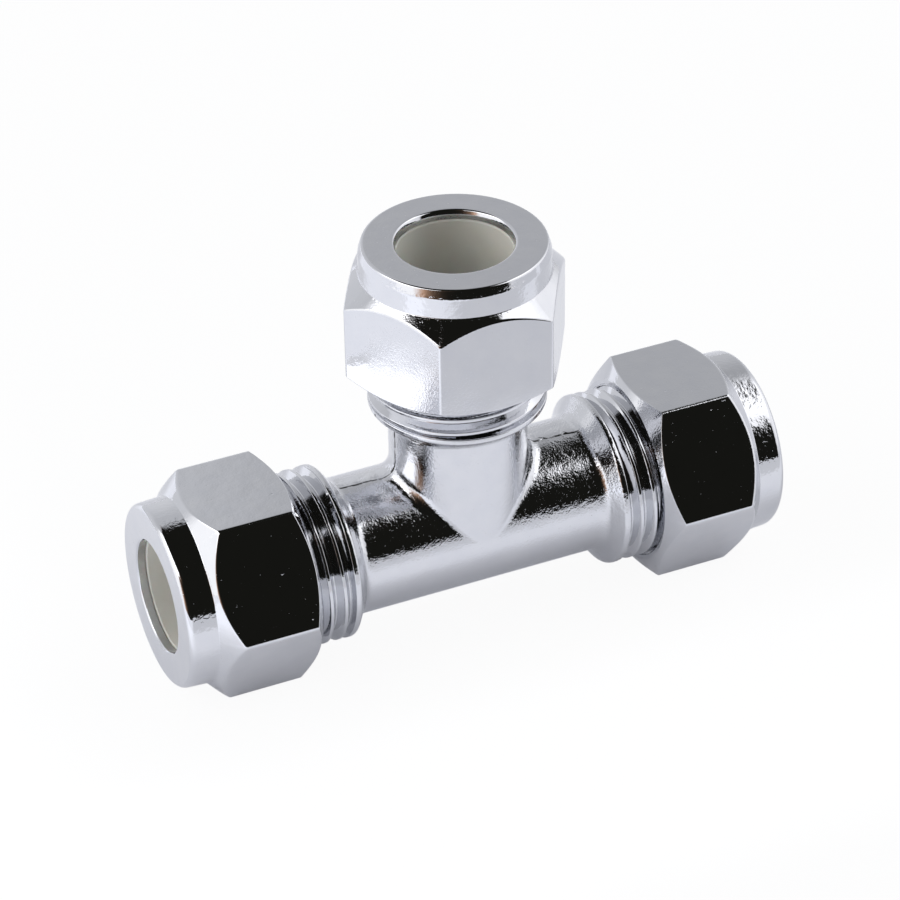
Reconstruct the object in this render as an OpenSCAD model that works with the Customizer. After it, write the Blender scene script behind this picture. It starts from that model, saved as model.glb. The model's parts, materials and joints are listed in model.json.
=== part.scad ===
// Equal compression tee for 15 mm pipe: a plated brass casting with three
// threaded arms, and on each arm a hexagon nut that holds a plastic ring.
// Millimetres. The run lies along X, the branch points up +Z, and the tee
// stands on the lower flats of its two run nuts, with z = 0 under them.

/* [Pipe] */
// Outside diameter of the pipe that the fitting joins
pipe_d = 15; // [14:0.1:16]
// Radial clearance of the pipe in its socket
pipe_clear = 0.1; // [0.05:0.05:0.3]
// Diameter of the waterway through the run
run_bore_d = 13; // [11:0.1:13.4]
// Diameter of the waterway through the branch
branch_bore_d = 12.6; // [10.5:0.1:13.2]

/* [Casting] */
// Length of each arm, from the crossing of the axes to its mouth
arm_len = 34.5; // [32:0.5:42]
// Distance from the crossing to the step that stops the pipe
pipe_stop = 14.5; // [11:0.5:20]
// Outside diameter of the run between its shoulders
barrel_d = 18.7; // [18:0.1:20]
// Outside diameter of the branch under its shoulder
neck_d = 18.5; // [17.8:0.1:19.8]
// Distance from the crossing to the outer face of each shoulder
shoulder_at = 20; // [19:0.5:23]
// Diameter of the shoulder's rim
rim_d = 23.7; // [23:0.1:25]
// Length of the straight band round the rim
rim_land = 0.5; // [0.2:0.1:1.5]
// Radius of the rim's rounded edge
rim_round = 0.5; // [0.2:0.1:0.8]
// Radius of the hollow where the shoulder flares out of the arm
flare_round = 2; // [1:0.25:3]
// Radius of the cast fillet where the branch runs into the barrel
crotch_round = 1.8; // [0.6:0.1:2.6]
// Half angle of the cone in each mouth that the ring seats in
seat_angle = 30; // [25:1:40]
// Depth of that cone
seat_depth = 4; // [3:0.25:4.5]

/* [Thread] */
// Outside diameter of the arms' thread
thread_d = 23.6; // [23:0.1:24.5]
// Pitch of the thread
pitch = 2; // [1.5:0.25:2.5]
// Depth of the thread, as a share of its pitch
depth_ratio = 0.6; // [0.4:0.05:0.65]
// Width of the flat on each crest, as a share of the pitch
crest_ratio = 0.2; // [0.1:0.05:0.3]
// Width of the flat in each root, as a share of the pitch
root_ratio = 0.1; // [0.05:0.05:0.2]
// Chamfer at the thread's first turn
mouth_chamfer = 1; // [0.4:0.1:1.2]
// Radial clearance of the nuts over the thread
thread_clear = 0.15; // [0.1:0.05:0.3]

/* [Nut] */
// Width of the hexagon across its flats
nut_af = 27; // [26:0.5:30]
// Diameter that the hexagon's corners are turned to
corner_d = 31; // [30.8:0.1:31.1]
// Length of the nut
nut_len = 18.4; // [16:0.2:20]
// Diameter of the nut's flat outer face
face_d = 24; // [23.5:0.1:24.4]
// Diameter of the collar at its outer end
collar_d = 25; // [24.6:0.1:25.2]
// Diameter of the collar where it meets the hexagon
collar_root_d = 25.3; // [25:0.1:25.8]
// Radius of the collar's rounded outer edge
edge_round = 1; // [0.7:0.1:1.5]
// Length of the collar, up to its fillet
collar_len = 3.8; // [2:0.1:5]
// Radius of the fillet under the collar
collar_fillet = 0.2; // [0.2:0.1:0.8]
// Angle of the crown chamfer to the nut's axis
crown_angle = 48; // [35:1:55]
// Diameter of the nut's inner end face
back_d = 24.8; // [24.5:0.1:25.5]
// Angle of the inner chamfer to the nut's end face
back_angle = 30; // [15:1:40]
// Thickness of the lip that pushes the ring
lip = 1.2; // [0.8:0.1:2]
// Bevel round the hole in the lip
lip_bevel = 0.2; // [0.1:0.1:0.6]
// Radial clearance of the pipe in the lip
lip_clear = 0.15; // [0.1:0.05:0.4]
// Bevel round the thread's inner end
back_bevel = 0.3; // [0.1:0.05:0.3]

/* [Compression ring] */
// Length of the ring's straight body
ring_body = 6; // [4:0.25:8]
// Radial clearance of the ring inside its nut
ring_clear = 0.2; // [0.1:0.05:0.4]
// Radial clearance of the pipe in the ring
ring_bore_clear = 0.05; // [0.05:0.05:0.2]
// Wall of the ring at the tip of its nose
ring_tip = 0.7; // [0.4:0.1:1]
// Gap between the ring's shoulder and the mouth once its nose is seated
ring_standoff = 0.5; // [0.3:0.1:1.5]
// Axial play between the ring and the lip
ring_play = 0.1; // [0.05:0.05:0.3]
// Bevel round the back of the ring
ring_bevel = 0.3; // [0.1:0.1:0.6]

/* [Nut places] */
// How far the left nut is backed off from where its ring is seated
left_backed_off = 1.1; // [0.3:0.1:6]
// How far the right nut is backed off from where its ring is seated
right_backed_off = 0.7; // [0.3:0.1:6]
// How far the branch nut is backed off from where its ring is seated
branch_backed_off = 0.6; // [0.3:0.1:6]
// Turn of the branch nut about the branch, from its flats square to the run
branch_nut_turn = -1.3; // [-30:0.1:30]

/* [Hidden] */

$fn = 96;
past = 1;
arc_steps = 5;
web_columns = 72;
web_rows = 4;
web_sink = 0.04;
web_depth = 1;

axis_h = nut_af / 2;
socket_r = pipe_d / 2 + pipe_clear;
seat_from = arm_len - seat_depth;
seat_mouth_r = socket_r + seat_depth * tan(seat_angle);

thread_r = thread_d / 2;
root_r = thread_r - depth_ratio * pitch;
crest_w = crest_ratio * pitch;
root_w = root_ratio * pitch;
flank_w = (pitch - crest_w - root_w) / 2;
turns = floor((arm_len - mouth_chamfer - shoulder_at) / pitch);

corner_r = min(corner_d, nut_af / cos(30)) / 2;
nut_thread_r = thread_r + thread_clear;
chamber_r = root_r + thread_clear;
lip_r = pipe_d / 2 + lip_clear;

ring_r = chamber_r - ring_clear;
ring_bore_r = pipe_d / 2 + ring_bore_clear;
ring_tip_r = ring_bore_r + ring_tip;
ring_nose_r = seat_mouth_r + ring_standoff * tan(seat_angle);
ring_len = ring_body + (ring_nose_r - ring_tip_r) / tan(seat_angle);

// Distance from the crossing to a nut's outer face with its ring seated
seated_face = arm_len + ring_standoff + ring_body + ring_play + lip;
left_face = seated_face + left_backed_off;
right_face = seated_face + right_backed_off;
branch_face = seated_face + branch_backed_off;
// Depth of the chamber in the nut, which ends just short of the arm's mouth
chamber_len = seated_face - arm_len - 0.4;

// Points along an arc about a centre, from one angle to another
function arc(centre, r, from, to) =
    [for (i = [0:arc_steps])
        let (a = from + (to - from) * i / arc_steps)
        centre + r * [cos(a), sin(a)]];

// Mirrored copy of a profile in its own axis, in the opposite order
function other_end(points) =
    [for (i = [len(points) - 1:-1:0]) [points[i][0], -points[i][1]]];

// The flare from an arm's plain outside up to the rim, as [radius, distance]
function flare(arm_r) =
    let (rim_r = rim_d / 2,
         rim_at = shoulder_at - rim_land,
         hollow_out = arm_r + flare_round * (1 - cos(45)),
         round_in = rim_r - rim_round * (1 - cos(45)),
         hollow_at = rim_at - rim_round * sin(45) - (round_in - hollow_out)
                     - flare_round * sin(45))
    concat(arc([arm_r + flare_round, hollow_at], flare_round, 180, 135),
           arc([rim_r - rim_round, rim_at], rim_round, -45, 0),
           [[rim_r, shoulder_at]]);

// The thread's ridges, drawn as plain rings one pitch apart
function ridges() =
    [for (i = [0:turns - 1])
        let (at = shoulder_at + i * pitch)
        each [[thread_r, at],
              [root_r, at + flank_w],
              [root_r, at + flank_w + root_w],
              [thread_r, at + 2 * flank_w + root_w]]];

// Section of the fillet in the crotch, at one angle round the branch: where a
// ball touches the barrel, along the ball to where it touches the branch, and
// a point inside the casting
function web_section(turn) =
    let (run_r = barrel_d / 2,
         branch_r = neck_d / 2,
         ball_out = (branch_r + crotch_round) * sin(turn),
         ball_up = sqrt(max(0, pow(run_r + crotch_round, 2) - pow(ball_out, 2))),
         ball = [(branch_r + crotch_round) * cos(turn), ball_out, ball_up],
         to_run = [0, -ball_out, -ball_up] / norm([ball_out, ball_up]),
         to_branch = [-cos(turn), -sin(turn), 0],
         inside_r = branch_r - web_depth,
         inside_up = sqrt(max(0, pow(run_r, 2) - pow(inside_r * sin(turn), 2))))
    concat(
        [for (i = [0:web_rows])
            let (toward = to_run * (web_rows - i) + to_branch * i,
                 sink = (i == 0 || i == web_rows) ? web_sink : 0)
            ball + toward / norm(toward) * (crotch_round + sink)],
        [[inside_r * cos(turn), inside_r * sin(turn), inside_up - web_depth]]);

// The outside of one arm, from its flare to its mouth
function arm_outside(arm_r) =
    concat(flare(arm_r), ridges(),
           [[thread_r, arm_len - mouth_chamfer],
            [thread_r - mouth_chamfer, arm_len]]);

// The inside of one arm, from its waterway out past its mouth
function arm_inside(bore_r) =
    [[bore_r, pipe_stop],
     [socket_r, pipe_stop],
     [socket_r, seat_from],
     [seat_mouth_r + past * tan(seat_angle), arm_len + past]];

// The fillet all round the crotch, with its edges just under the two tubes
module crotch_web() {
    corners = web_rows + 2;
    polyhedron(
        points = [for (column = [0:web_columns - 1])
            each web_section(360 * column / web_columns)],
        faces = [for (column = [0:web_columns - 1], corner = [0:corners - 1])
            let (next_column = (column + 1) % web_columns,
                 next_corner = (corner + 1) % corners,
                 a = column * corners + corner,
                 b = column * corners + next_corner,
                 c = next_column * corners + next_corner,
                 d = next_column * corners + corner)
            each [[a, b, c], [a, c, d]]]);
}

module tee_body() {
    run_outside = arm_outside(barrel_d / 2);
    run_inside = arm_inside(run_bore_d / 2);
    color("silver")
    translate([0, 0, axis_h])
    difference() {
        union() {
            rotate([0, 90, 0])
            rotate_extrude()
            polygon(concat([[0, -arm_len]], other_end(run_outside),
                           run_outside, [[0, arm_len]]));
            rotate_extrude()
            polygon(concat([[0, 0], [neck_d / 2, 0]],
                           arm_outside(neck_d / 2), [[0, arm_len]]));
            crotch_web();
        }
        rotate([0, 90, 0])
        rotate_extrude()
        polygon(concat([[0, -arm_len - past]], other_end(run_inside),
                       run_inside, [[0, arm_len + past]]));
        rotate_extrude()
        polygon(concat([[0, 0], [branch_bore_d / 2, 0]],
                       arm_inside(branch_bore_d / 2),
                       [[0, arm_len + past]]));
    }
}

// A nut along +Z with its outer face at z = 0 and the rest below it
module nut() {
    face_r = face_d / 2;
    edge_in = collar_d / 2 - edge_round;
    edge_from = acos((face_r - edge_in) / edge_round);
    edge_at = -edge_round * sin(edge_from);
    root_collar_r = collar_root_d / 2;
    crown_in = root_collar_r + collar_fillet * (1 - cos(crown_angle));
    crown_at = -collar_len - collar_fillet * sin(crown_angle);
    crown_end = crown_at - (corner_r - crown_in) / tan(crown_angle);
    back_end = -nut_len + (corner_r - back_d / 2) * tan(back_angle);
    difference() {
        intersection() {
            translate([0, 0, -nut_len - past])
            cylinder(h = nut_len + 2 * past, r = nut_af / 2 / cos(30), $fn = 6);
            rotate_extrude()
            polygon(concat(
                [[0, 0]],
                arc([edge_in, edge_at], edge_round, edge_from, 0),
                arc([root_collar_r + collar_fillet, -collar_len],
                    collar_fillet, 180, 180 + crown_angle),
                [[corner_r, crown_end],
                 [corner_r, back_end],
                 [back_d / 2, -nut_len],
                 [0, -nut_len]]));
        }
        rotate_extrude()
        polygon([
            [0, past],
            [lip_r + lip_bevel + past, past],
            [lip_r, -lip_bevel],
            [lip_r, -lip],
            [chamber_r, -lip],
            [chamber_r, -chamber_len],
            [nut_thread_r, -chamber_len],
            [nut_thread_r, back_bevel - nut_len],
            [nut_thread_r + back_bevel + past, -nut_len - past],
            [0, -nut_len - past]]);
    }
}

// A ring along +Z with its back face at z = 0 and its nose pointing down
module olive() {
    difference() {
        rotate_extrude()
        polygon([
            [0, 0],
            [ring_r - ring_bevel, 0],
            [ring_r, -ring_bevel],
            [ring_r, -ring_body],
            [ring_nose_r, -ring_body],
            [ring_tip_r, -ring_len],
            [0, -ring_len]]);
        translate([0, 0, -ring_len - past])
        cylinder(h = ring_len + 2 * past, r = ring_bore_r);
    }
}

// Where a nut sits on its arm: side is -1 left, 1 right and 0 for the branch
module on_arm(side, distance) {
    translate([0, 0, axis_h])
    rotate([0, side * 90, 0])
    translate([0, 0, distance])
    children();
}

module left_nut() {
    color("silver") on_arm(-1, left_face) rotate(30) nut();
}

module right_nut() {
    color("silver") on_arm(1, right_face) rotate(30) nut();
}

module branch_nut() {
    color("silver") on_arm(0, branch_face) rotate(branch_nut_turn) nut();
}

module left_olive() {
    color("ivory") on_arm(-1, left_face - lip - ring_play) olive();
}

module right_olive() {
    color("ivory") on_arm(1, right_face - lip - ring_play) olive();
}

module branch_olive() {
    color("ivory") on_arm(0, branch_face - lip - ring_play) olive();
}

tee_body();
left_nut();
right_nut();
branch_nut();
left_olive();
right_olive();
branch_olive();
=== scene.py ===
import json
import math

import bmesh
import bpy
import numpy as np
from mathutils import Matrix, Vector


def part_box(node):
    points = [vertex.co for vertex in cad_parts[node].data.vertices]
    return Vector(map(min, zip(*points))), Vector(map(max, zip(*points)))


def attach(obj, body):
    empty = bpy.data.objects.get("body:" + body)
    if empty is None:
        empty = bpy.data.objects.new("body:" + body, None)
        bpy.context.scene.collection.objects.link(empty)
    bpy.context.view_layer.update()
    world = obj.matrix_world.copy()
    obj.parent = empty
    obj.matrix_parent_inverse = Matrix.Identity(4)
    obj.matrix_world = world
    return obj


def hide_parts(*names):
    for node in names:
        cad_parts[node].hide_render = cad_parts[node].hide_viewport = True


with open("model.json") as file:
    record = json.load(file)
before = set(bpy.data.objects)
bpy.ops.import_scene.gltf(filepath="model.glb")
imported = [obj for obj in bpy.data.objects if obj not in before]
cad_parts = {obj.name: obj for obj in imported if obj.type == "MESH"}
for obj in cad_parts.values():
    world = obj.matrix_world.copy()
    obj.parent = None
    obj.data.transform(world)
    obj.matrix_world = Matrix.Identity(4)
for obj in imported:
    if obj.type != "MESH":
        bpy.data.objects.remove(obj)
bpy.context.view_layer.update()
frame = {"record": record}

# The viewpoint: a long lens at the front left of the tee, looking down on it, with the frame rolled by a
# degree. The place is measured from the point where the axes of the run and the branch cross.
MM = 0.001
run_axis_height = frame["record"]["mounts"][0]["pos_m"][2] / MM
camera_azimuth = math.radians(-23.668)
camera_elevation = math.radians(34.299)
camera_roll = math.radians(-1.048)
camera_distance = 481.91
camera_right = -1.233
camera_up = 8.645
lens_length = 143.07
sensor_width = 36

toward_camera = Vector((math.sin(camera_azimuth) * math.cos(camera_elevation),
                        -math.cos(camera_azimuth) * math.cos(camera_elevation),
                        math.sin(camera_elevation)))
level_right = Vector((math.cos(camera_azimuth), math.sin(camera_azimuth), 0))
level_up = toward_camera.cross(level_right)
image_right = level_right * math.cos(camera_roll) + level_up * math.sin(camera_roll)
image_up = level_up * math.cos(camera_roll) - level_right * math.sin(camera_roll)

lens = bpy.data.cameras.new("long_lens")
lens.lens = lens_length
lens.sensor_width = sensor_width
camera = bpy.data.objects.new("camera", lens)
bpy.context.scene.collection.objects.link(camera)
camera_place = (Vector((0, 0, run_axis_height)) + toward_camera * camera_distance
                + image_right * camera_right + image_up * camera_up) * MM
camera.matrix_world = Matrix((
    (image_right.x, image_up.x, toward_camera.x, camera_place.x),
    (image_right.y, image_up.y, toward_camera.y, camera_place.y),
    (image_right.z, image_up.z, toward_camera.z, camera_place.z),
    (0, 0, 0, 1)))
bpy.context.scene.camera = camera
bpy.context.scene.view_settings.view_transform = "Standard"


# The light tent: white cloth at both sides and a greyer one behind, open in front and overhead to the dark
# of the room, with a fringe of warm light at the opening's left edge. The edges are degrees to the right of
# the front and degrees above the level.
def node(tree, kind, feeds=None, **settings):
    """A node with its settings, each named input fed by a socket or set to a value."""
    made = tree.nodes.new(kind)
    for name, value in settings.items():
        setattr(made, name, value)
    for name, value in (feeds or {}).items():
        if isinstance(value, bpy.types.NodeSocket):
            tree.links.new(value, made.inputs[name])
        else:
            made.inputs[name].default_value = value
    return made


def calc(tree, operation, *values, clamp=False):
    """The result of one sum on sockets or numbers."""
    feeds = dict(enumerate(values))
    return node(tree, "ShaderNodeMath", feeds, operation=operation, use_clamp=clamp).outputs[0]


def fade(tree, value, low, high, out_low=0.0, out_high=1.0):
    """A value that goes smoothly from out_low to out_high as the fed value goes from low to high."""
    feeds = {"Value": value, "From Min": low, "From Max": high, "To Min": out_low, "To Max": out_high}
    return node(tree, "ShaderNodeMapRange", feeds, interpolation_type="SMOOTHSTEP").outputs["Result"]


def blend(tree, share, first, second):
    """A colour that goes from the first to the second as the share goes from 0 to 1."""
    made = tree.nodes.new("ShaderNodeMix")
    made.data_type = "RGBA"
    for socket, value in zip((made.inputs[0], made.inputs[6], made.inputs[7]), (share, first, second)):
        if isinstance(value, bpy.types.NodeSocket):
            tree.links.new(value, socket)
        else:
            socket.default_value = value
    return made.outputs[2]


left_low = (1.45, 1.45, 1.46, 1)
left_high = (2.7, 2.7, 2.72, 1)
right_low = (1.3, 1.3, 1.33, 1)
right_high = (1.9, 1.9, 1.93, 1)
back_cloth = (0.84, 0.85, 0.88, 1)
open_room = (0.011, 0.011, 0.009, 1)
warm_room = (0.70, 0.43, 0.29, 1)
white = (1, 1, 1, 1)
left_edge = (-74, -58)
left_lean_from = (36, 44)
left_lean = 18
right_edge = (37, 43)
foot_edge = (-5, -1)
top_turn = (-50, 60)
top_height = (50, 60)
top_lifts = ((100, 125, -3), (-135, -150, 6))
top_soft = 4
left_rise = (24, 31)
right_rise = (30, 46)
right_shade = (40, 72)
middle = (-20, 20)
back_from_left = (-138, -118)
back_from_right = (100, 138)
back_shade = (157, 163)
upper_shade = (10, 50)
shade_share = 0.2
fringe_end = 5
fringe_width = 65
fringe_fall = 8.0
fringe_rise = (12, 38)
fringe_top = 0.35

tent = bpy.data.worlds.new("light_tent")
bpy.context.scene.world = tent
tent.use_nodes = True
tree = tent.node_tree
tree.nodes.clear()
direction = node(tree, "ShaderNodeSeparateXYZ",
                 {0: tree.nodes.new("ShaderNodeTexCoord").outputs["Generated"]}).outputs
toward_front = calc(tree, "MULTIPLY", direction[1], -1)
azimuth = calc(tree, "DEGREES", calc(tree, "ARCTAN2", direction[0], toward_front))
elevation = calc(tree, "DEGREES", calc(tree, "ARCSINE", direction[2]))

lean = fade(tree, elevation, *left_lean_from, 0, left_lean)
from_left = calc(tree, "SUBTRACT", azimuth, lean)
past_left = fade(tree, from_left, *left_edge)
before_right = fade(tree, azimuth, *right_edge, 1, 0)
over_foot = fade(tree, elevation, *foot_edge)
front_gap = calc(tree, "MULTIPLY", calc(tree, "MULTIPLY", past_left, before_right), over_foot)
top_edge = fade(tree, azimuth, *top_turn, *top_height)
for start, end, lift in top_lifts:
    top_edge = calc(tree, "ADD", top_edge, fade(tree, azimuth, start, end, 0, lift))
top_gap = fade(tree, calc(tree, "SUBTRACT", elevation, top_edge), -top_soft, top_soft)
gap = calc(tree, "MAXIMUM", front_gap, top_gap)

left_side = blend(tree, fade(tree, elevation, *left_rise), left_low, left_high)
right_side = blend(tree, fade(tree, elevation, *right_rise), right_low, right_high)
right_side = blend(tree, fade(tree, azimuth, *right_shade, shade_share, 0), right_side, open_room)
sides = blend(tree, fade(tree, azimuth, *middle), left_side, right_side)
back_left = fade(tree, azimuth, *back_from_left, 1, 0)
back_right = fade(tree, azimuth, *back_from_right)
dim = calc(tree, "MULTIPLY", fade(tree, azimuth, *back_shade, shade_share, 0), back_right)
dim = calc(tree, "ADD", dim, fade(tree, elevation, *upper_shade, 0, shade_share))
behind = blend(tree, dim, back_cloth, open_room)
cloth = blend(tree, calc(tree, "MAXIMUM", back_left, back_right), sides, behind)
fringe = calc(tree, "DIVIDE", calc(tree, "SUBTRACT", fringe_end, from_left), fringe_width, clamp=True)
fringe = calc(tree, "MULTIPLY", calc(tree, "POWER", fringe, fringe_fall), calc(tree, "SUBTRACT", 1, top_gap))
fringe = calc(tree, "MULTIPLY", fringe, fade(tree, elevation, *fringe_rise, 1, fringe_top))
room = blend(tree, fringe, open_room, warm_room)
lit = blend(tree, gap, cloth, room)
camera_ray = tree.nodes.new("ShaderNodeLightPath").outputs["Is Camera Ray"]
seen = blend(tree, camera_ray, lit, white)
shine = node(tree, "ShaderNodeBackground", {"Color": seen, "Strength": 1.0})
node(tree, "ShaderNodeOutputWorld", {"Surface": shine.outputs[0]})


# The chrome plate: nickel and chromium laid on brass. The plating group gives the height of the surface in
# millimetres, its roughness and its tint, for the cast, forged and turned skins under the plate. The cells
# of each texture are given as their number along a millimetre.
def group_of(name, inputs, outputs):
    """An empty shader group with named inputs and outputs, and its two end nodes. An input that starts as
    None is a vector."""
    made = bpy.data.node_groups.new(name, "ShaderNodeTree")
    for label, start in inputs.items():
        kind = "NodeSocketVector" if start is None else "NodeSocketFloat"
        socket = made.interface.new_socket(label, in_out="INPUT", socket_type=kind)
        if start is not None:
            socket.default_value = start
    for label, kind in outputs.items():
        made.interface.new_socket(label, in_out="OUTPUT", socket_type=kind)
    return made, made.nodes.new("NodeGroupInput").outputs, made.nodes.new("NodeGroupOutput").inputs


def noise(tree, place, scale, detail=2.0):
    """Soft cloudy noise from -0.5 to 0.5. scale is the number of its cells along a metre."""
    feeds = {"Vector": place, "Scale": scale, "Detail": detail}
    made = node(tree, "ShaderNodeTexNoise", feeds, noise_dimensions="3D")
    return calc(tree, "SUBTRACT", made.outputs["Fac"], 0.5)


def spots(tree, place, scale, size, share):
    """Round spots that are 1 in the middle. scale is the number of cells along a metre, size is a spot's
    radius in cells, and share is the share of the cells that hold a spot."""
    cells = node(tree, "ShaderNodeTexVoronoi", {"Vector": place, "Scale": scale}, feature="F1")
    lot = node(tree, "ShaderNodeSeparateColor", {0: cells.outputs["Color"]}).outputs[0]
    chosen = calc(tree, "LESS_THAN", lot, share)
    return calc(tree, "MULTIPLY", fade(tree, cells.outputs["Distance"], 0, size, 1, 0), chosen)


plate_shade = (0.60, 0.61, 0.645, 1)
plate_light = (0.66, 0.665, 0.685, 1)
plate_dark = (0.03, 0.028, 0.027, 1)
speck_cells = 0.9
speck_size = 0.14
speck_share = 0.12
cloud_cells = 0.4
haze_sway = 0.8
dust_cells = 1.3
dust_size = 0.15
dust_share = 0.5
dust_roughness = 0.4

plating, given, result = group_of(
    "plated_skin",
    {"Place": None, "Wave size": 3.0, "Wave height": 0.03, "Peel size": 0.5, "Peel height": 0.01,
     "Grain size": 0.2, "Grain height": 0.002, "Speck height": 0.004, "Haze": 0.05},
    {"Height": "NodeSocketFloat", "Roughness": "NodeSocketFloat", "Tint": "NodeSocketColor"})
tree = plating
specks = spots(tree, given["Place"], speck_cells / MM, speck_size, speck_share)
height = calc(tree, "MULTIPLY", specks, given["Speck height"])
for label, detail in (("Wave", 1.0), ("Peel", 2.0), ("Grain", 2.0)):
    cells = calc(tree, "DIVIDE", 1 / MM, given[label + " size"])
    layer = calc(tree, "MULTIPLY", noise(tree, given["Place"], cells, detail), given[label + " height"])
    height = calc(tree, "ADD", height, layer)
tree.links.new(height, result["Height"])
cloud = noise(tree, given["Place"], cloud_cells / MM, 3.0)
hazy = calc(tree, "MULTIPLY_ADD", cloud, calc(tree, "MULTIPLY", given["Haze"], haze_sway), given["Haze"])
dust = spots(tree, given["Place"], dust_cells / MM, dust_size, dust_share)
tree.links.new(calc(tree, "MULTIPLY_ADD", dust, dust_roughness, hazy), result["Roughness"])
tint = blend(tree, calc(tree, "ADD", cloud, 0.5), plate_shade, plate_light)
tree.links.new(tint, result["Tint"])


def plated(name, worked, **skin):
    """A chrome plate over a skin given by its waves, peel and grain in millimetres. The worked function
    gives how much of that skin is left where the piece is cut, the height of the marks of the work, and
    where the plate's colour is turned dark."""
    made = bpy.data.materials.new(name)
    made.use_nodes = True
    tree = made.node_tree
    tree.nodes.clear()
    place = tree.nodes.new("ShaderNodeTexCoord").outputs["Object"]
    shift = tree.nodes.new("ShaderNodeObjectInfo").outputs["Random"]
    feeds = {label.replace("_", " ").capitalize(): value for label, value in skin.items()}
    feeds["Place"] = node(tree, "ShaderNodeVectorMath", {0: place, 1: shift}, operation="ADD").outputs[0]
    surface = node(tree, "ShaderNodeGroup", feeds, node_tree=plating)
    left_over, marks, darkened = worked(tree, place)
    height = calc(tree, "MULTIPLY_ADD", surface.outputs["Height"], left_over, marks)
    bump = node(tree, "ShaderNodeBump", {"Height": height, "Strength": 1.0, "Distance": MM})
    shader = node(tree, "ShaderNodeBsdfPrincipled",
                  {"Base Color": blend(tree, darkened, surface.outputs["Tint"], plate_dark), "Metallic": 1.0,
                   "Roughness": surface.outputs["Roughness"], "Normal": bump.outputs["Normal"]})
    node(tree, "ShaderNodeOutputMaterial", {"Surface": shader.outputs[0]})
    return made


# The casting: one piece of brass with three threaded arms, plated after its threads and mouths are cut.
# The branch runs into the barrel through a small cast fillet, and each arm flares out to a shoulder.
crossing_place = Matrix.Translation((0, 0, run_axis_height * MM))
arm_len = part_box("tee_body")[1][0] / MM
pipe_stop = 14.5
socket_r = frame["record"]["mounts"][0]["dims"]["r_mm"]
run_bore_r = 6.5
branch_bore_r = 6.3
barrel_r = 9.35
neck_r = 9.25
crotch_fillet = 2.1
bore_edge = 0.15
shoulder_at = 20.0
rim_r = 11.85
rim_land = 0.5
rim_at = shoulder_at - rim_land
rim_round = 0.5
rim_edge = 0.12
flare_round = 1.6
flare_angle = 55
seat_depth = 4.0
seat_angle = 30
seat_mouth_r = socket_r + seat_depth * math.tan(math.radians(seat_angle))
mouth_edge = 0.1
thread_r = 11.8
thread_depth = 1.2
pitch = 2.0
crest_flat = 0.4
root_flat = 0.2
crest_edge = 0.09
root_edge = 0.12
mouth_chamfer = 1.0
first_crests = {"left": 21.917, "right": 22.256, "branch": 21.506}
columns = 192
web_rows = 7
neck_rows = 9
barrel_end_rows = 4
weld_gap = 0.0008
crease_angle = 32


def rounded(points, radii, steps=3):
    """An open profile of [radius, distance] points with each inner corner turned into an arc, which takes
    at most 0.45 of the sides beside it."""
    points = np.asarray(points, float)
    radii = np.broadcast_to(radii, len(points))
    out = [points[0]]
    for before, corner, after, radius in zip(points, points[1:], points[2:], radii[1:]):
        back, on = before - corner, after - corner
        back_len, on_len = np.hypot(*back), np.hypot(*on)
        back, on = back / back_len, on / on_len
        half = math.acos(max(-1.0, min(1.0, float(back @ on)))) / 2
        reach = min(radius / math.tan(half), 0.45 * back_len, 0.45 * on_len)
        if reach < 1e-6 or half > math.pi / 2 - 1e-3:
            out.append(corner)
            continue
        radius = reach * math.tan(half)
        centre = corner + (back + on) / np.hypot(*(back + on)) * radius / math.sin(half)
        first, last = corner + back * reach - centre, corner + on * reach - centre
        sweep = math.pi - 2 * half
        for i in range(steps + 1):
            t = i / steps * sweep
            out.append(centre + (first * math.sin(sweep - t) + last * math.sin(t)) / math.sin(sweep))
    out.append(points[-1])
    return np.array(out)


def arc(centre, radius, start, end, steps):
    """Points along an arc, from one angle in degrees to another."""
    angles = np.radians(np.linspace(start, end, steps + 1))
    return np.stack([centre[0] + radius * np.cos(angles), centre[1] + radius * np.sin(angles)], 1)


def turned(radii, distances, angles):
    """A grid of points round +Z: one row for each radius and distance, one column for each angle."""
    shape = (len(radii), len(angles))
    radii = np.broadcast_to(np.reshape(radii, (len(radii), -1)), shape)
    distances = np.broadcast_to(np.reshape(distances, (len(distances), -1)), shape)
    return np.stack([radii * np.cos(angles), radii * np.sin(angles), distances], 2)


def thread(angles, crest_at, start, end, clear=0.0):
    """Rows of a right-hand thread between two distances: their radii and distances at each angle.
    crest_at is the distance of a crest's middle at angle 0. Turns are to spare past both ends."""
    first = math.floor((start - crest_at) / pitch) - 2
    last = math.ceil((end - crest_at) / pitch) + 1
    corners = []
    for turn in range(first, last + 1):
        crest = crest_at + turn * pitch
        corners += [[thread_r, crest - crest_flat / 2], [thread_r, crest + crest_flat / 2],
                    [thread_r - thread_depth, crest + pitch / 2 - root_flat / 2],
                    [thread_r - thread_depth, crest + pitch / 2 + root_flat / 2]]
    profile = rounded(corners, [crest_edge, crest_edge, root_edge, root_edge] * (last - first + 1))
    lead = pitch * angles / (2 * math.pi)
    distances = np.clip(profile[:, 1:] + lead, start, end)
    radii = np.stack([np.interp(distances[:, i] - lead[i], profile[:, 1], profile[:, 0])
                      for i in range(len(angles))], 1)
    return radii + clear, distances


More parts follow.
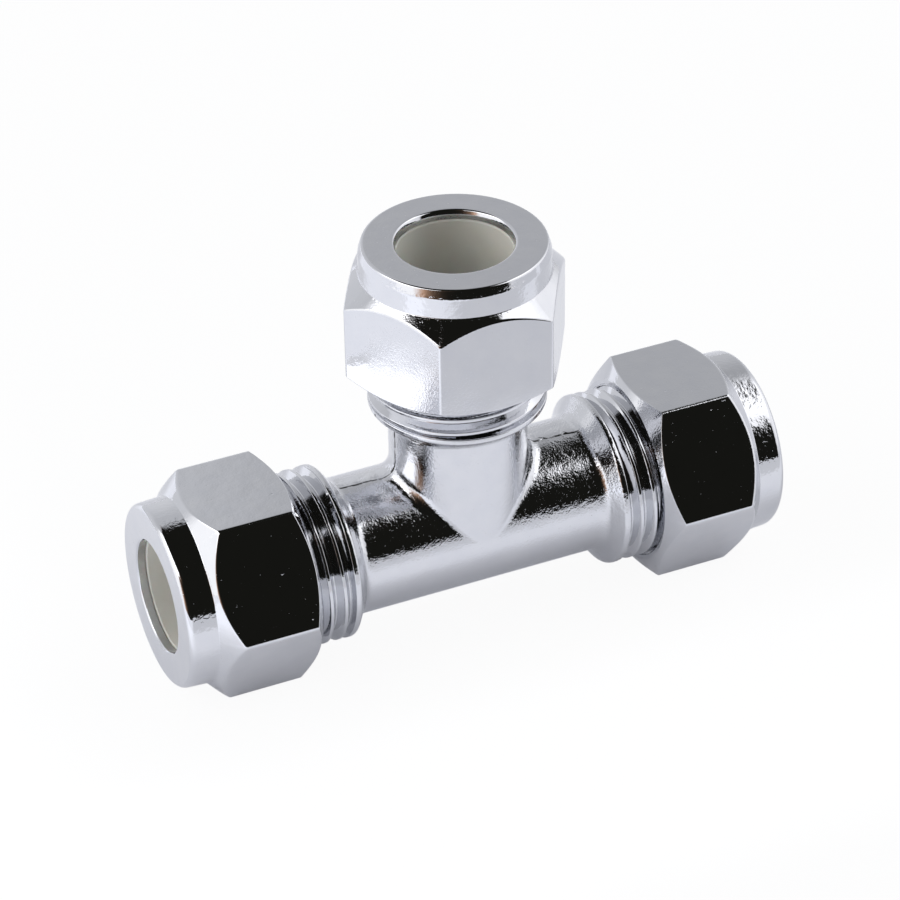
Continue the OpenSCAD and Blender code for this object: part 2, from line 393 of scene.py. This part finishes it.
def crossing(run_r, branch_r, fillet, run_end, branch_end, count):
    """Grids of a tube along X, the fillet of a rolling ball and a tube up +Z, with count faces around."""
    run_ball, branch_ball = run_r + fillet, branch_r + fillet
    around = np.linspace(0, 2 * math.pi, count + 1)
    ball = np.stack([branch_ball * np.cos(around), branch_ball * np.sin(around),
                     np.sqrt(run_ball ** 2 - (branch_ball * np.sin(around)) ** 2)], 1)
    to_run = ball * [0, -1 / run_ball, -1 / run_ball]
    to_branch = ball * [-1 / branch_ball, -1 / branch_ball, 0]
    sweep = np.arccos(np.clip((to_run * to_branch).sum(1), -1, 1))[:, None]
    web = np.stack([ball + fillet * (to_run * np.sin((1 - t) * sweep) + to_branch * np.sin(t * sweep))
                    / np.sin(sweep) for t in np.linspace(0, 1, web_rows)])
    top = web[-1].copy()
    top[:, 2] = branch_end
    neck = np.stack([web[-1] + (top - web[-1]) * t for t in np.linspace(0, 1, neck_rows)])
    half = count // 2
    edge = web[0][:half + 1]
    hole = np.arctan2(edge[:, 1], edge[:, 2])
    ends = np.linspace(run_end, branch_ball, barrel_end_rows + 1)[:-1]
    places = np.concatenate([ends, edge[:, 0], -ends[::-1]])
    closed = np.zeros(barrel_end_rows)
    gaps = np.concatenate([closed, hole, closed])[:, None]
    angles = gaps + (2 * math.pi - 2 * gaps) * np.linspace(0, 1, count + 1)
    barrel = np.stack([np.broadcast_to(places[:, None], angles.shape),
                       run_r * np.sin(angles), run_r * np.cos(angles)], 2)
    return [barrel, web, neck]


def faces_of(grid, offset):
    """The four-sided faces between the rows and columns of a grid of points."""
    rows, cols = grid.shape[:2]
    index = np.arange(rows * cols).reshape(rows, cols) + offset
    return np.stack([index[:-1, :-1], index[:-1, 1:], index[1:, 1:], index[1:, :-1]], 2).reshape(-1, 4)


def halving(outer, inner, offset):
    """Three-sided faces between a closed ring of points and one with half as many."""
    count = len(inner) - 1
    start = offset + len(outer)
    out = []
    for i in range(count):
        out += [(offset + 2 * i, offset + 2 * i + 1, start + i),
                (offset + 2 * i + 1, offset + 2 * i + 2, start + i + 1),
                (offset + 2 * i + 1, start + i + 1, start + i)]
    return out


def solid(name, grids, place, material, body, replaced, halved=()):
    """One piece from its grids of points and the ring pairs that are halved, welded, with even faces shaded
    flat and edges shaded round."""
    points, faces, total = [], [], 0
    for grid in grids:
        faces += faces_of(grid, total).tolist()
        points.append(grid.reshape(-1, 3))
        total += len(points[-1])
    for outer, inner in halved:
        faces += halving(outer, inner, total)
        points += [outer, inner]
        total += len(outer) + len(inner)
    mesh = bpy.data.meshes.new(name)
    mesh.from_pydata((np.concatenate(points) * MM).tolist(), [], faces)
    work = bmesh.new()
    work.from_mesh(mesh)
    bmesh.ops.remove_doubles(work, verts=work.verts, dist=weld_gap * MM)
    bmesh.ops.dissolve_degenerate(work, edges=work.edges, dist=weld_gap / 2 * MM)
    bmesh.ops.recalc_face_normals(work, faces=work.faces)
    for face in work.faces:
        face.smooth = True
    work.to_mesh(mesh)
    work.free()
    mesh.set_sharp_from_angle(angle=math.radians(crease_angle))
    mesh.materials.append(material)
    piece = bpy.data.objects.new(name, mesh)
    piece.matrix_world = place
    bpy.context.scene.collection.objects.link(piece)
    weighted = piece.modifiers.new("even_faces", "WEIGHTED_NORMAL")
    weighted.mode = "FACE_AREA"
    weighted.keep_sharp = True
    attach(piece, body)
    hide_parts(replaced)


def on_arm(points, arm):
    """Points round +Z with their distance from the crossing, laid along one of the three arms."""
    x, y, z = points[..., 0], points[..., 1], points[..., 2]
    return np.stack({"left": (-z, y, x), "right": (z, y, -x), "branch": (x, y, z)}[arm], -1)


def along_arm(arm, distance):
    """The place of a piece whose own +Z points out along an arm, so far from the crossing."""
    turn = {"left": Matrix.Rotation(math.radians(-90), 4, "Y"),
            "right": Matrix.Rotation(math.radians(90), 4, "Y"), "branch": Matrix.Identity(4)}[arm]
    return crossing_place @ turn @ Matrix.Translation((0, 0, distance * MM))


def ends_on_arm(node_name, arm):
    """The distances from the crossing at which a solid begins and ends along its arm."""
    low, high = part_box(node_name)
    if arm == "branch":
        return low[2] / MM - run_axis_height, high[2] / MM - run_axis_height
    if arm == "right":
        return low[0] / MM, high[0] / MM
    return -high[0] / MM, -low[0] / MM


def arm_outside(arm_r, crest_at, angles):
    """Rows of one arm from its flare over the rim and the thread to the seat in its mouth."""
    slope = math.radians(flare_angle)
    hollow_out = arm_r + flare_round * (1 - math.cos(slope))
    round_in = rim_r - rim_round * (1 - math.cos(slope))
    cone_len = (round_in - hollow_out) / math.tan(slope)
    hollow_at = rim_at - cone_len - (rim_round + flare_round) * math.sin(slope)
    flare = np.concatenate([
        arc((arm_r + flare_round, hollow_at), flare_round, 180, 180 - flare_angle, 6),
        arc((rim_r - rim_round, rim_at), rim_round, -flare_angle, 0, 4),
        arc((rim_r - rim_edge, shoulder_at - rim_edge), rim_edge, 0, 90, 3)])
    radii, distances = thread(angles, crest_at, shoulder_at, arm_len)
    radii = np.minimum(radii, thread_r - np.maximum(distances - (arm_len - mouth_chamfer), 0))
    radii = np.minimum(radii, rim_r - rim_edge + distances - shoulder_at)
    wide = np.ones(len(angles))
    mouth = rounded([[thread_r - mouth_chamfer, arm_len], [seat_mouth_r, arm_len],
                     [socket_r, arm_len - seat_depth], [socket_r, pipe_stop]], mouth_edge)
    all_radii = np.concatenate([flare[:, :1] * wide, radii, mouth[:, :1] * wide])
    all_distances = np.concatenate([flare[:, 1:] * wide, distances, mouth[:, 1:] * wide])
    return turned(all_radii, all_distances, angles), hollow_at


full_circle = np.linspace(0, 2 * math.pi, columns + 1)
half_circle = np.linspace(0, 2 * math.pi, columns // 2 + 1)
casting_grids = []
casting_steps = []
flare_from = {}
for arm, first_crest in first_crests.items():
    root_r = neck_r if arm == "branch" else barrel_r
    outside, flare_from[arm] = arm_outside(root_r, first_crest, full_circle)
    casting_grids.append(on_arm(outside, arm))
    bore_r = branch_bore_r if arm == "branch" else run_bore_r
    step_in = on_arm(turned([bore_r], [pipe_stop], half_circle)[0], arm)
    casting_steps.append((on_arm(outside[-1], arm), step_in))
outer = crossing(barrel_r, neck_r, crotch_fillet, flare_from["right"], flare_from["branch"], columns)
inner = crossing(run_bore_r, branch_bore_r, bore_edge, pipe_stop, pipe_stop, columns // 2)
casting_grids += outer + inner

bored_r = 8.0
parting_height = 0.16
parting_width = 0.16
parting_slant = 0.032
parting_back = 0.7
parting_sway = 0.6
sway_cells = 0.35
parting_reach = 17.2
step_run_out = 2.5
step_cells = 0.6
step_breaks = (-0.15, 0.05)
step_worn = 0.55
seam_darkness = 0.95
seam_core = 0.1
seam_edge = 0.25
seam_cells = 0.9
seam_breaks = (-0.12, 0)
coarse_from = -2.0
coarse_to = 10.0
coarse_left = 0.55
coarse_right = 0.8
smooth_share = 0.2
blister_height = 0.018
blister_cells = 3.4
blister_peaks = (0.15, 0.29)


def distance_from(tree, place, across):
    """The distance from one axis of the piece. across is 1 in the two directions across it, 0 along it."""
    flat = node(tree, "ShaderNodeVectorMath", {0: place, 1: across}, operation="MULTIPLY").outputs[0]
    return node(tree, "ShaderNodeVectorMath", {0: flat}, operation="LENGTH").outputs["Value"]


def cast_and_cut(tree, place):
    """The cast skin is coarser towards the right, and ends at the shoulders, where the threads are cut, and
    in the bores. It has fine blisters and the trimmed line of the mould: a low step, steep in front, that
    runs out behind, with a broken dark seam at its foot."""
    where = node(tree, "ShaderNodeSeparateXYZ", {0: place}).outputs
    along_run = calc(tree, "ABSOLUTE", where[0])
    inside = calc(tree, "MULTIPLY", fade(tree, along_run, rim_at * MM, shoulder_at * MM, 1, 0),
                  fade(tree, where[2], rim_at * MM, shoulder_at * MM, 1, 0))
    in_branch = calc(tree, "LESS_THAN", distance_from(tree, place, (1, 1, 0)), bored_r * MM)
    in_branch = calc(tree, "MULTIPLY", in_branch, calc(tree, "GREATER_THAN", where[2], 0))
    in_run = calc(tree, "LESS_THAN", distance_from(tree, place, (0, 1, 1)), bored_r * MM)
    bored = calc(tree, "MAXIMUM", in_branch, in_run)
    inside = calc(tree, "MULTIPLY", inside, calc(tree, "SUBTRACT", 1, bored))
    sway = calc(tree, "MULTIPLY", noise(tree, place, sway_cells / MM), parting_sway * MM)
    slant = calc(tree, "MULTIPLY_ADD", where[0], parting_slant, parting_back * MM)
    off = calc(tree, "ADD", calc(tree, "ADD", where[1], sway), slant)
    off_flares = calc(tree, "LESS_THAN", along_run, parting_reach * MM)
    step = calc(tree, "MULTIPLY", fade(tree, off, 0, parting_width * MM),
                fade(tree, off, parting_width * MM, step_run_out * MM, 1, 0))
    worn = fade(tree, noise(tree, place, step_cells / MM), *step_breaks, step_worn, 1)
    step = calc(tree, "MULTIPLY", step, worn)
    step = calc(tree, "MULTIPLY", calc(tree, "MULTIPLY", step, off_flares), parting_height)
    from_foot = calc(tree, "ABSOLUTE", calc(tree, "SUBTRACT", off, parting_width / 2 * MM))
    # The plate's colour turns nearly black in a broken line at the step's foot.
    seam = fade(tree, from_foot, seam_core * MM, seam_edge * MM, seam_darkness, 0)
    seam = calc(tree, "MULTIPLY", seam, fade(tree, noise(tree, place, seam_cells / MM), *seam_breaks))
    seam = calc(tree, "MULTIPLY", seam, calc(tree, "MULTIPLY", off_flares, inside))
    coarse = fade(tree, where[0], coarse_from * MM, coarse_to * MM, coarse_left, coarse_right)
    blisters = fade(tree, noise(tree, place, blister_cells / MM, 3.0), *blister_peaks, 0, blister_height)
    marks = calc(tree, "MULTIPLY", calc(tree, "MULTIPLY_ADD", blisters, coarse, step), inside)
    return calc(tree, "MULTIPLY_ADD", inside, coarse, smooth_share), marks, seam


cast_chrome = plated("cast_chrome", cast_and_cut, wave_size=2.2, wave_height=0.05, peel_size=0.5,
                     peel_height=0.035, grain_size=0.24, grain_height=0.026, speck_height=0.01, haze=0.04)
solid("casting", casting_grids, crossing_place, cast_chrome, "tee", "tee_body",
      casting_steps)

# The nuts: forged hexagons of brass, turned to a collar at the outer end, bored and threaded from the inner
# end, then plated. The corners keep a slight radius, and a steep crown is cut behind the collar.
across_flats = 27.0
corner_r = 15.5
corner_round = 0.6
face_r = 12.0
collar_r = 12.5
collar_root_r = 12.65
edge_round = 1.0
bevel_len = 1.3
collar_len = 3.8
collar_fillet = 0.2
crown_angle = 48
crown_round = 0.7
back_r = 12.7
back_angle = 32.5
back_round = 0.2
back_bevel = 0.2
back_edge = 0.05
lip = 1.2
lip_r = 7.65
lip_bevel = 0.2
lip_edge = 0.1
chamber_len = 7.4
chamber_r = 10.75
chamber_round = 0.3
nut_clear = 0.15
hole_land = 0.6
face_inset = 0.3
soft_bevel = 0.24
soft_bevel_len = 0.65
soft_bevel_rounds = (0.7, 0.35)
soft_hole_land = 0.8
soft_edge_from = 0.5
soft_edge_past = 0.08
soft_edge_rounds = (0.35, 1.2)
branch_nut_turn = 28.7
flat_steps = 24
corner_steps = 8
crease_steps = 4


def hexagon(turn):
    """Angles round a nut, close together at its corners, and its radius at each of them."""
    half_side = math.radians(30)
    centre_r = (across_flats / 2 - corner_round) / math.cos(half_side)
    tangent = math.atan2(centre_r / 2, across_flats / 2)
    corner_half = half_side - tangent
    across = np.concatenate([
        np.linspace(-tangent, tangent, flat_steps + 1)[:-1],
        half_side + np.linspace(-corner_half, corner_half, corner_steps + 1)[:-1]])
    from_corner = across - half_side
    on_corner = centre_r * np.cos(from_corner) + np.sqrt(
        np.maximum(corner_round ** 2 - (centre_r * np.sin(from_corner)) ** 2, 0))
    on_flat = across_flats / 2 / np.cos(np.minimum(across, tangent))
    radius = np.minimum(np.where(across > tangent, on_corner, on_flat), corner_r)
    angles = np.concatenate([across + 2 * half_side * side for side in range(6)]) + turn
    return np.append(angles, angles[0] + 2 * math.pi), np.append(np.tile(radius, 6), radius[0])


def nut_grid(length, turn, crest_at, hole, edge):
    """Rows of a nut from its lip out over the collar, crown, flats and back, and in along its thread. Its
    face is at 0, and the edges of the hole and of the collar are given as radii and depths."""
    angles, hex_r = hexagon(turn)
    wide = np.ones(len(angles))
    rows = []

    def turn_row(radius, depth):
        rows.append((radius * wide, -depth * wide))

    collar_foot = arc((collar_root_r + collar_fillet, collar_len), collar_fillet, 180, 180 - crown_angle, 5)
    for radius, depth in np.concatenate([hole, edge, collar_foot]):
        turn_row(radius, depth)
    crown_slope, back_slope = math.radians(crown_angle), math.radians(back_angle)
    crease = -rows[-1][1] + (hex_r - rows[-1][0]) / math.tan(crown_slope)
    back_crease = length - (hex_r - back_r) * math.tan(back_slope)
    for start, turn_by, radius, sign in ((crease, crown_slope, crown_round, 1),
                                         (back_crease, math.pi / 2 - back_slope, back_round, -1)):
        reach = radius * math.tan(turn_by / 2)
        for share in np.linspace(0, 1, crease_steps + 1)[::sign]:
            bend = (1 - share) * turn_by
            sink = radius * (1 - math.cos(bend))
            along = start + sign * (reach - radius * math.sin(bend))
            rows.append((hex_r - sink, -along))
    bore_r = thread_r + nut_clear
    for radius, depth in rounded([[back_r, length], [bore_r + back_bevel, length],
                                  [bore_r, length - back_bevel]], back_edge):
        turn_row(radius, depth)
    radii, distances = thread(angles, crest_at, back_bevel - length, -chamber_len, nut_clear)
    rows += list(zip(radii, distances))
    for radius, depth in rounded([[chamber_r, chamber_len], [chamber_r, lip], [lip_r, lip]], chamber_round):
        turn_row(radius, depth)
    return turned(np.stack([row[0] for row in rows]), np.stack([row[1] for row in rows]), angles)


groove_height = 0.002
groove_cells = 2.2
ripple_height = 0.04
ripple_cells = 1.6
ripple_from = 0.5
ripple_full = 1.2
turned_past = 0.2
frost_height = 0.016
frost_cells = 4.0
frost_front = -2.0
frost_side = -1.0
frost_full = -4.0
nick_depth = 0.018
nick_cells = 1.6
nick_peaks = (0.23, 0.3)
nick_stretch = (1.7, 0.9, 0.5)


def turned_marks(tree, place):
    """The finest grooves of the lathe round the outer face and collar, the rippled plate on the collar, the
    frosted grain of the forging on one side of the hexagon, and small nicks all over."""
    where = node(tree, "ShaderNodeSeparateXYZ", {0: place}).outputs
    radius = distance_from(tree, place, (1, 1, 0))
    lathe = node(tree, "ShaderNodeCombineXYZ", {0: radius, 2: where[2]}).outputs[0]
    grooves = calc(tree, "MULTIPLY", noise(tree, lathe, groove_cells / MM, 3.0), groove_height)
    ripples = calc(tree, "MULTIPLY", noise(tree, place, ripple_cells / MM), ripple_height)
    below_face = fade(tree, where[2], -ripple_full * MM, -ripple_from * MM, 1, 0)
    ripples = calc(tree, "MULTIPLY", ripples, below_face)
    turned_share = calc(tree, "LESS_THAN", radius, (collar_root_r + turned_past) * MM)
    round_marks = calc(tree, "MULTIPLY", calc(tree, "ADD", grooves, ripples), turned_share)
    rough_side = calc(tree, "MULTIPLY", fade(tree, where[0], frost_full * MM, frost_side * MM, 1, 0),
                      fade(tree, where[1], frost_full * MM, frost_front * MM, 1, 0))
    frost = calc(tree, "MULTIPLY", noise(tree, place, frost_cells / MM), frost_height)
    frost = calc(tree, "MULTIPLY", frost, calc(tree, "SUBTRACT", rough_side, turned_share, clamp=True))
    stretched = node(tree, "ShaderNodeVectorMath", {0: place, 1: nick_stretch}, operation="MULTIPLY")
    nicks = fade(tree, noise(tree, stretched.outputs[0], nick_cells / MM), *nick_peaks, 0, nick_depth)
    return 1.0, calc(tree, "SUBTRACT", calc(tree, "ADD", round_marks, frost), nicks), 0.0


nut_chrome = plated("nut_chrome", turned_marks, wave_size=3.0, wave_height=0.025, peel_size=0.6,
                    peel_height=0.008, grain_size=0.2, grain_height=0.0015, speck_height=0.006, haze=0.045)
nut_turn = {"left": 0.0, "right": 0.0, "branch": math.radians(branch_nut_turn)}
edge_from = math.degrees(math.acos((face_r - collar_r + edge_round) / edge_round))
edge_deep = edge_round * math.sin(math.radians(edge_from))
run_edge = arc((collar_r - edge_round, edge_deep), edge_round, -edge_from, 0, 8)
branch_edge = rounded([[face_r - soft_edge_from, 0], [face_r + soft_edge_past, 0], [collar_r, bevel_len],
                       [collar_root_r, collar_len]], [0, *soft_edge_rounds, 0], 6)[1:-1]
run_hole = rounded([[lip_r, lip], [lip_r, lip_bevel], [lip_r + lip_bevel, 0], [lip_r + hole_land, 0],
                    [face_r - face_inset, 0]], lip_edge)
branch_hole = rounded([[lip_r, lip], [lip_r, soft_bevel_len], [lip_r + soft_bevel, 0],
                       [lip_r + soft_hole_land, 0], [face_r - face_inset, 0]],
                      [0, *soft_bevel_rounds, 0, 0], 5)
for arm, first_crest in first_crests.items():
    back_at, face_at = ends_on_arm(arm + "_nut", arm)
    hole, edge = (branch_hole, branch_edge) if arm == "branch" else (run_hole, run_edge)
    grid = nut_grid(face_at - back_at, nut_turn[arm], first_crest - face_at, hole, edge)
    solid(arm + "_hexagon_nut", [grid], along_arm(arm, face_at), nut_chrome, arm + "_nut", arm + "_nut")

# The compression rings: moulded in off-white plastic, with a straight body behind the nut's lip and a nose
# that is pressed into the cone of the casting's mouth. The pipe goes through the bore.
ring_r = 10.55
ring_bore_r = 7.55
ring_nose_r = 10.2
ring_tip_r = 8.25
ring_body = 6.0
ring_edge = 0.3
cream_shade = (0.76, 0.75, 0.68, 1)
cream_light = (0.82, 0.815, 0.755, 1)
flow_cells = 0.35
moulded_cells = 2.5
moulded_height = 0.003
ring_roughness = 0.3
roughness_sway = 0.1
glow_share = 0.1
glow_reach = 1.5

ring_plastic = bpy.data.materials.new("ring_plastic")
ring_plastic.use_nodes = True
tree = ring_plastic.node_tree
tree.nodes.clear()
place = tree.nodes.new("ShaderNodeTexCoord").outputs["Object"]
flow = calc(tree, "ADD", noise(tree, place, flow_cells / MM, 3.0), 0.5)
cream = blend(tree, flow, cream_shade, cream_light)
moulded = node(tree, "ShaderNodeBump", {"Height": noise(tree, place, moulded_cells / MM),
                                        "Strength": 1.0, "Distance": moulded_height * MM})
sheen = calc(tree, "MULTIPLY_ADD", flow, roughness_sway, ring_roughness)
shader = node(tree, "ShaderNodeBsdfPrincipled",
              {"Base Color": cream, "Roughness": sheen, "Normal": moulded.outputs["Normal"],
               "Subsurface Weight": glow_share, "Subsurface Scale": glow_reach * MM})
node(tree, "ShaderNodeOutputMaterial", {"Surface": shader.outputs[0]})

middle_r = (ring_r + ring_bore_r) / 2
for arm in first_crests:
    tip_at, back_at = ends_on_arm(arm + "_olive", arm)
    nose = tip_at - back_at
    profile = rounded([[middle_r, 0], [ring_r, 0], [ring_r, -ring_body], [ring_nose_r, -ring_body],
                       [ring_tip_r, nose], [ring_bore_r, nose], [ring_bore_r, 0], [middle_r, 0]],
                      ring_edge, 4)
    grid = turned(profile[:, :1], profile[:, 1:], full_circle)
    solid(arm + "_ring", [grid], along_arm(arm, back_at), ring_plastic, arm + "_ring_carrier",
          arm + "_olive")

# The floor of the tent: plain white board with painted light. It glows a little, more at the left and in a
# strip in front of the tee, which the chrome shows in its reflections, and less under it, a painted shadow.
# The camera sees it nearly white, with a soft shadow under the tee.
floor_half = 2000.0
left_glow = 0.38
left_bright = -80.0
left_dark = -35.0
strip_glow = 0.5
strip_at = -43.0
strip_half = 15.0
strip_fade = 29.0
board_glow = 0.24
painted_shadow_depth = 0.4
under_long = 38.0
under_long_fade = 46.0
under_deep = 7.0
under_deep_fade = 16.0
board_colour = (0.875, 0.885, 0.915, 1)
glow_colour = (0.96, 0.98, 1.05, 1)
white_share = 0.93

floor_mesh = bpy.data.meshes.new("floor")
floor_mesh.from_pydata([(x * floor_half * MM, y * floor_half * MM, 0)
                        for x, y in ((-1, -1), (1, -1), (1, 1), (-1, 1))], [], [(0, 1, 2, 3)])
floor = bpy.data.objects.new("floor", floor_mesh)
bpy.context.scene.collection.objects.link(floor)
board = bpy.data.materials.new("white_board")
board.use_nodes = True
tree = board.node_tree
tree.nodes.clear()
camera_ray = tree.nodes.new("ShaderNodeLightPath").outputs["Is Camera Ray"]
matt = node(tree, "ShaderNodeBsdfDiffuse", {"Color": board_colour})
where = node(tree, "ShaderNodeSeparateXYZ",
             {0: tree.nodes.new("ShaderNodeTexCoord").outputs["Object"]}).outputs
from_strip = calc(tree, "ABSOLUTE", calc(tree, "SUBTRACT", where[1], strip_at * MM))
# Painted light: the board glows, brighter at the left and in a strip in front of the tee, and the chrome
# reflects it.
painted_glow = calc(tree, "ADD", fade(tree, where[0], left_bright * MM, left_dark * MM, left_glow, 0),
             fade(tree, from_strip, strip_half * MM, strip_fade * MM, strip_glow, board_glow))
along, across = calc(tree, "ABSOLUTE", where[0]), calc(tree, "ABSOLUTE", where[1])
# Painted shadow: the glow is cut down under the tee.
painted_shadow = calc(tree, "MULTIPLY",
             fade(tree, along, under_long * MM, under_long_fade * MM, painted_shadow_depth, 0),
             fade(tree, across, under_deep * MM, under_deep_fade * MM, 1, 0))
painted_glow = calc(tree, "MULTIPLY", painted_glow, calc(tree, "SUBTRACT", 1, painted_shadow))
painted_glow = node(tree, "ShaderNodeEmission", {"Color": glow_colour, "Strength": painted_glow})
lit_board = node(tree, "ShaderNodeAddShader", {0: matt.outputs[0], 1: painted_glow.outputs[0]})
glow = node(tree, "ShaderNodeEmission", {"Color": white, "Strength": 1.0})
mixed = node(tree, "ShaderNodeMixShader",
             {0: calc(tree, "MULTIPLY", camera_ray, white_share),
              1: lit_board.outputs[0], 2: glow.outputs[0]})
node(tree, "ShaderNodeOutputMaterial", {"Surface": mixed.outputs[0]})
floor_mesh.materials.append(board)
